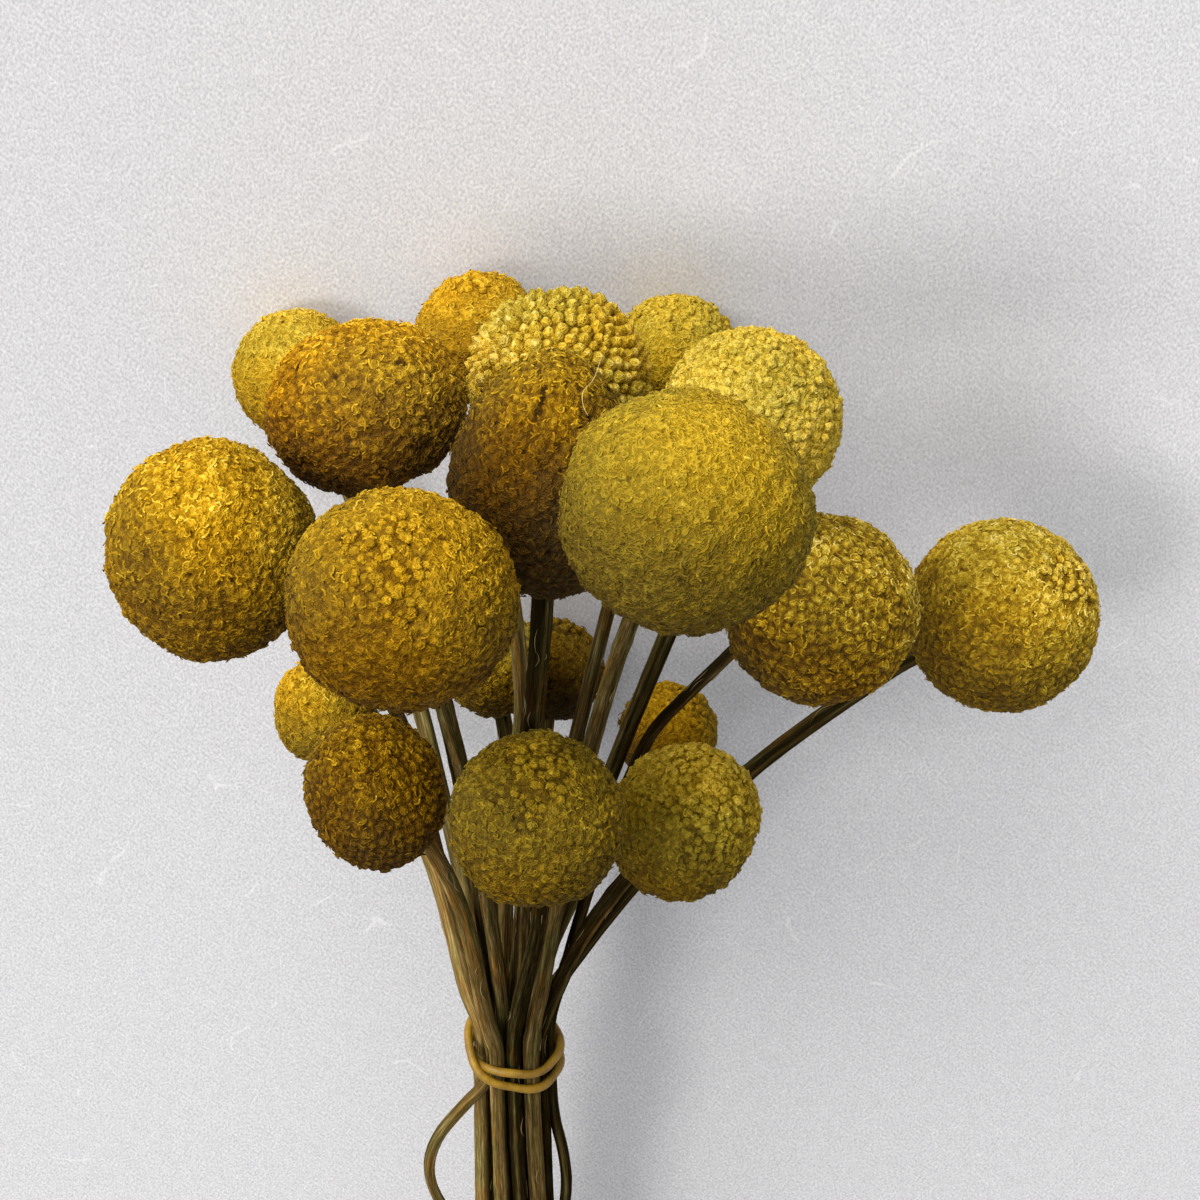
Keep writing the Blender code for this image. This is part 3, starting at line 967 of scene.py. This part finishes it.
def ramp(tree, factor, *stops):
    """A colour ramp through (place, hex colour or grey value) stops."""
    node = add(tree, "ShaderNodeValToRGB", {"Fac": factor})
    ends = node.color_ramp.elements
    while len(ends) < len(stops):
        ends.new(0.5)
    for end, (place, value) in zip(ends, stops):
        end.position = place
        grey = not isinstance(value, str)
        end.color = (value,) * 3 + (1,) if grey else colour(value)
    return node.outputs["Color"]


def span(tree, value, low, high):
    """How far a value is from low to high, from 0 to 1."""
    return add(tree, "ShaderNodeMapRange", {
        "Value": value, "From Min": low, "From Max": high}).outputs[0]


def calculate(tree, operation, a, b=0):
    """A math node's result."""
    node = add(tree, "ShaderNodeMath", {0: a, 1: b}, operation=operation)
    return node.outputs[0]


def attribute(tree, name, output="Fac"):
    """A mark of the mesh, by its name."""
    return add(tree, "ShaderNodeAttribute", attribute_name=name).outputs[output]


def mix(tree, factor, a, b, kind="MIX"):
    """Two colours mixed, or multiplied."""
    node = add(tree, "ShaderNodeMix", {0: factor, 6: a, 7: b},
               data_type="RGBA", blend_type=kind)
    return node.outputs[2]


def noise(tree, vector, scale, detail=3, rough=0.6):
    """A noise of so many waves to a unit, 0 to 1."""
    return add(tree, "ShaderNodeTexNoise", {
        "Vector": vector, "Scale": scale, "Detail": detail,
        "Roughness": rough}).outputs["Fac"]


def new_material(name):
    """An empty Principled material: (material, tree, shader)."""
    material = bpy.data.materials.new(name)
    material.use_nodes = True
    tree = material.node_tree
    shader = next(n for n in tree.nodes if n.type == "BSDF_PRINCIPLED")
    return material, tree, shader


def dress(tree, shader, base, rough, specular):
    """Gives a shader its colour, its roughness and its specular level."""
    tree.links.new(base, shader.inputs["Base Color"])
    if isinstance(rough, bpy.types.NodeSocket):
        tree.links.new(rough, shader.inputs["Roughness"])
    else:
        shader.inputs["Roughness"].default_value = rough
    shader.inputs["Specular IOR Level"].default_value = specular


def rough_bump(tree, shader, height, strength, distance):
    """Bumps the surface by a texture, up to that distance in metres."""
    bump = add(tree, "ShaderNodeBump", {
        "Height": height, "Strength": strength, "Distance": distance})
    tree.links.new(bump.outputs["Normal"], shader.inputs["Normal"])


# Each tint by how light a floret is: the lighter, the paler and the less red.
TINT_STOPS = (0, 0.12, 0.3, 0.5, 0.75, 1, 1.3)
HEAD_TINTS = {
    "head_golden": ("1c0e00", "624100", "976f05", "bf9212", "e1b730", "f5cc4e",
                    "fcda76"),
    "head_lemon": ("1c1100", "624700", "97770e", "bf9c22", "e0bd40", "f2d058",
                   "fadd7c"),
    "head_olive": ("1c0f00", "624300", "977108", "bf9516", "e3bb36", "fcd662",
                   "fbde80"),
    "head_orange": ("1e0d00", "633e00", "986a03", "c18d0c", "e6b324", "ffcf48",
                    "ffde7c"),
}
AGED = "d8e6ff"  # what browner patches are tinted by
# A trace of dust and of a painted sheen on the aged patches:
DUST_AND_SHEEN = "a09a86"  # a trace of it lies on them
DUST_AND_SHEEN_SHARE = 0.025

# How fine the florets' noises are, in waves to a metre.
LINES_FINE = (1000, 1700)
STRAND_FINE = 2300
PIT_FINE = 950
SPECK_FINE = 2100
PATCH_FINE = 260
PEBBLE_FINE = 1000
THREAD_FINE = 2600


def wiggles(tree, vector, scale, narrow):
    """Thin curly lines, as where a soft noise crosses its middle: 0 to 1."""
    off = calculate(tree, "SUBTRACT", noise(tree, vector, scale, 0.6, 0.5), 0.5)
    off = calculate(tree, "ABSOLUTE", off)
    return add(tree, "ShaderNodeMapRange", {
        "Value": off, "From Min": 0, "From Max": narrow,
        "To Min": 1, "To Max": 0}, interpolation_type="SMOOTHSTEP").outputs[0]


def floret_light(tree, tip, tone_and_shade, thread, lines, place):
    """How light a floret is, by its marks and the fine detail on it, with the
    painted light and shade that its marks carry.
    """
    # Pale curled lines: partly lighter lobe edges, partly painted highlights.
    # Pits: small dark spots, painted shade. Specks: pale spots, partly pale
    # floret tips and partly painted glints.
    felt = ramp(tree, lines, (0, 0.74), (1, 1.24))
    strand = noise(tree, place, STRAND_FINE, 1)
    strand = ramp(tree, strand, (0.35, 0.93), (0.65, 1.07))
    pit = ramp(tree, noise(tree, place, PIT_FINE, 0), (0.2, 0.5), (0.25, 1))
    speck = noise(tree, place, SPECK_FINE, 0.5)
    speck = ramp(tree, speck, (0.7, 1), (0.76, 1.7))
    light = ramp(tree, tip, (0, 0.1), (0.35, 0.5), (0.75, 0.88), (1, 1.1))
    for part in (tone_and_shade, mix(tree, thread, felt, strand), pit, speck):
        light = mix(tree, 1.0, light, part, "MULTIPLY")
    return light


def floret_colour(tree, light, old, place, tints):
    """The tint for that light, browner in the patches that have aged, with a
    trace of dust and of painted sheen on them.
    """
    most = TINT_STOPS[-1]
    stops = [(at / most, tint) for at, tint in zip(TINT_STOPS, tints)]
    fresh = ramp(tree, span(tree, light, 0, most), *stops)
    aged = mix(tree, 1.0, fresh, colour(AGED), "MULTIPLY")
    aged = mix(tree, DUST_AND_SHEEN_SHARE, aged, colour(DUST_AND_SHEEN))
    share = calculate(tree, "ADD", old, noise(tree, place, PATCH_FINE, 2))
    return mix(tree, span(tree, share, -0.5, 1.6), fresh, aged)


def head_material(slot):
    """Dried florets: darker at the foot, partly browner and partly painted
    shade, golden or lemon, with pale tips, partly painted glints.
    """
    name = slot + "_florets"
    if name in bpy.data.materials:
        return bpy.data.materials[name]
    material, tree, shader = new_material(name)
    marks = attribute(tree, "marks", "Vector")
    parts = add(tree, "ShaderNodeSeparateXYZ", {"Vector": marks})
    tip, tone_and_shade, old = parts.outputs
    thread = attribute(tree, "thread")
    place = add(tree, "ShaderNodeTexCoord").outputs["Object"]
    lines = calculate(tree, "MAXIMUM", wiggles(tree, place, LINES_FINE[0], 0.1),
                      wiggles(tree, place, LINES_FINE[1], 0.11))
    light = floret_light(tree, tip, tone_and_shade, thread, lines, place)
    base = floret_colour(tree, light, old, place, HEAD_TINTS[slot])
    dress(tree, shader, base, ramp(tree, lines, (0, 0.85), (1, 0.66)), 0.07)
    pebbles = add(tree, "ShaderNodeTexVoronoi", {
        "Vector": place, "Scale": PEBBLE_FINE}, feature="SMOOTH_F1")
    pebbles = ramp(tree, pebbles.outputs["Distance"], (0, 1), (0.6, 0))
    felt = mix(tree, 0.6, pebbles, lines)
    relief = mix(tree, thread, felt, noise(tree, place, THREAD_FINE, 1))
    rough_bump(tree, shader, relief, 0.75, 0.0004)
    return material


# Barks, by how light their fibres are.
BROWN = ((0.28, "352710"), (0.46, "5f4b27"), (0.58, "7a633a"), (0.74, "aa9365"))
OLIVE = ((0.28, "2f2910"), (0.46, "574c26"), (0.58, "70643b"), (0.74, "9f9266"))
WARM = ((0.28, "3b280e"), (0.46, "6b4d20"), (0.6, "886735"), (0.74, "b4935a"))
LOOSE = "9c8c64"  # the fibres that have come loose


def along_grain(tree, marks, drawn_out, scale, detail, rough):
    """A noise drawn out along the stem, the more the smaller drawn_out is."""
    long = add(tree, "ShaderNodeMapping", {
        "Vector": marks, "Scale": (1, 1, drawn_out)})
    return noise(tree, long.outputs["Vector"], scale, detail, rough)


def bark_colour(tree, marks, ridge, fibre, thread):
    """Brown to olive, with warmer spots and pale fibres, and painted shade:
    darker grooves and covered parts, lighter ribs as a painted highlight.
    """
    base = ramp(tree, fibre, *BROWN)
    olive = span(tree, noise(tree, marks, 0.55, 3), 0.42, 0.58)
    base = mix(tree, olive, base, ramp(tree, fibre, *OLIVE))
    warm = span(tree, noise(tree, marks, 0.8, 2), 0.54, 0.68)
    base = mix(tree, warm, base, ramp(tree, fibre, *WARM))
    # Painted shade down the grooves and where another stem covers, and a
    # painted highlight on the ribs.
    groove = span(tree, ridge, -1.4, 1.6)
    groove = ramp(tree, groove, (0, 0.14), (0.45, 0.78), (1, 1.8))
    fine = ramp(tree, thread, (0.34, 0.84), (0.5, 1.0), (0.66, 1.14))
    for part in (groove, fine):
        base = mix(tree, 1.0, base, part, "MULTIPLY")
    return mix(tree, span(tree, ridge, 2.1, 2.4), base, colour(LOOSE))


def bark_material():
    """Dry stem bark with fine fibres along it."""
    if "bark" in bpy.data.materials:
        return bpy.data.materials["bark"]
    material, tree, shader = new_material("bark")
    marks = attribute(tree, "marks", "Vector")
    ridge = attribute(tree, "ridge")
    fibre = along_grain(tree, marks, 0.35, 4.5, 4, 0.7)
    thread = along_grain(tree, marks, 0.16, 13, 2, 0.6)
    base = bark_colour(tree, marks, ridge, fibre, thread)
    dress(tree, shader, base, ramp(tree, thread, (0.3, 0.6), (0.7, 0.85)), 0)
    rough_bump(tree, shader, mix(tree, 0.5, fibre, thread), 0.4, 0.0003)
    return material


def stray_material():
    """A dry pale fibre."""
    material, tree, shader = new_material("stray")
    place = add(tree, "ShaderNodeTexCoord").outputs["Object"]
    fine = noise(tree, place, 900, 2)
    base = ramp(tree, fine, (0.3, "a98c4a"), (0.7, "d8c078"))
    dress(tree, shader, base, 0.6, 0.5)
    return material


def band_material():
    """Aged natural rubber: mustard and a little waxy."""
    material, tree, shader = new_material("rubber")
    place = add(tree, "ShaderNodeTexCoord").outputs["Object"]
    patch = noise(tree, place, 300, 3)
    base = ramp(tree, patch, (0.3, "745408"), (0.5, "8d6b0e"), (0.7, "a6801d"))
    fine = noise(tree, place, 1800, 3)
    dress(tree, shader, base, ramp(tree, fine, (0.3, 0.42), (0.7, 0.6)), 0.5)
    rough_bump(tree, shader, fine, 0.25, 0.0002)
    return material


def paper_material():
    """The plain pale floor, with a paper's fine relief."""
    material, tree, shader = new_material("paper")
    place = add(tree, "ShaderNodeTexCoord").outputs["Object"]
    place = add(tree, "ShaderNodeMapping", {
        "Vector": place, "Scale": (1, 0.7, 1), "Rotation": (0, 0, 0.6)})
    place = place.outputs["Vector"]
    fine = noise(tree, place, 2500, 2, 0.5)
    base = ramp(tree, fine, (0.3, "c0c0c5"), (0.7, "e3e3e6"))
    broken = ramp(tree, noise(tree, place, 140, 2), (0.56, 0), (0.62, 0.3))
    pulp = mix(tree, 1.0, wiggles(tree, place, 60, 0.006), broken, "MULTIPLY")
    base = mix(tree, pulp, base, colour("ffffff"))
    coarse = ramp(tree, noise(tree, place, 420, 3), (0.3, 0.965), (0.7, 1.03))
    base = mix(tree, 1.0, base, coarse, "MULTIPLY")
    dress(tree, shader, base, 0.9, 0.1)
    rough_bump(tree, shader, fine, 0.3, 0.0002)
    return material


# ---- scene

def make_floor():
    """The plain floor under the bunch, which isn't part of it."""
    points = np.array(((-1, -1, 0), (1, -1, 0), (1, 1, 0), (-1, 1, 0)))
    floor = mesh_object("floor", FLOOR_HALF * points, [(0, 1, 2, 3)],
                        smooth=False)
    floor.data.materials.append(paper_material())


def view_axes():
    """The picture's right, up and towards-the-camera axes, in the row frame."""
    right = ACROSS
    towards = FRONT * math.cos(CAMERA_RISE) + UP * math.sin(CAMERA_RISE)
    upward = np.cross(towards, right)
    return right, upward, towards


def make_camera():
    """The photograph's view: from the front and above the heads."""
    data = bpy.data.cameras.new("camera")
    data.sensor_width = SENSOR
    data.lens = SENSOR * CAMERA_AWAY / VIEW_WIDE
    data.clip_start = 0.01
    camera = bpy.data.objects.new("camera", data)
    right, upward, towards = view_axes()
    stand = TIE + BUNCH @ LOOK_AT + towards * CAMERA_AWAY
    place = Matrix.Identity(4)
    for column, axis in enumerate((right, upward, towards, stand)):
        for row in range(3):
            place[row][column] = axis[row]
    camera.matrix_world = place
    bpy.context.scene.collection.objects.link(camera)
    bpy.context.scene.camera = camera


def make_light():
    """A low, soft sun from the heads' end, a weak lamp, and a pale sky."""
    lights = (("key", KEY_WAY, KEY_POWER, KEY_SOFT),
              ("lamp", LAMP_WAY, LAMP_POWER, LAMP_SOFT))
    for name, way, power, soft in lights:
        data = bpy.data.lights.new(name, "SUN")
        data.energy = power
        data.angle = soft
        data.color = LIGHT_TINT
        sun = bpy.data.objects.new(name, data)
        sun.rotation_euler = Vector(way).to_track_quat("Z", "Y").to_euler()
        bpy.context.scene.collection.objects.link(sun)
    world = bpy.data.worlds.new("studio")
    world.use_nodes = True
    sky = world.node_tree.nodes["Background"]
    sky.inputs["Color"].default_value = SKY_TINT
    sky.inputs["Strength"].default_value = SKY_POWER
    bpy.context.scene.world = world
    bpy.context.scene.view_settings.view_transform = "Standard"


STEM_PATHS = {number: stem_path(number) for number in range(1, HEADS + 1)}
make_camera()
make_light()
make_floor()
for number in range(1, HEADS + 1):
    head = Head(number)
    make_head(head)
    make_strays(head)
    make_stem(number)
make_band()
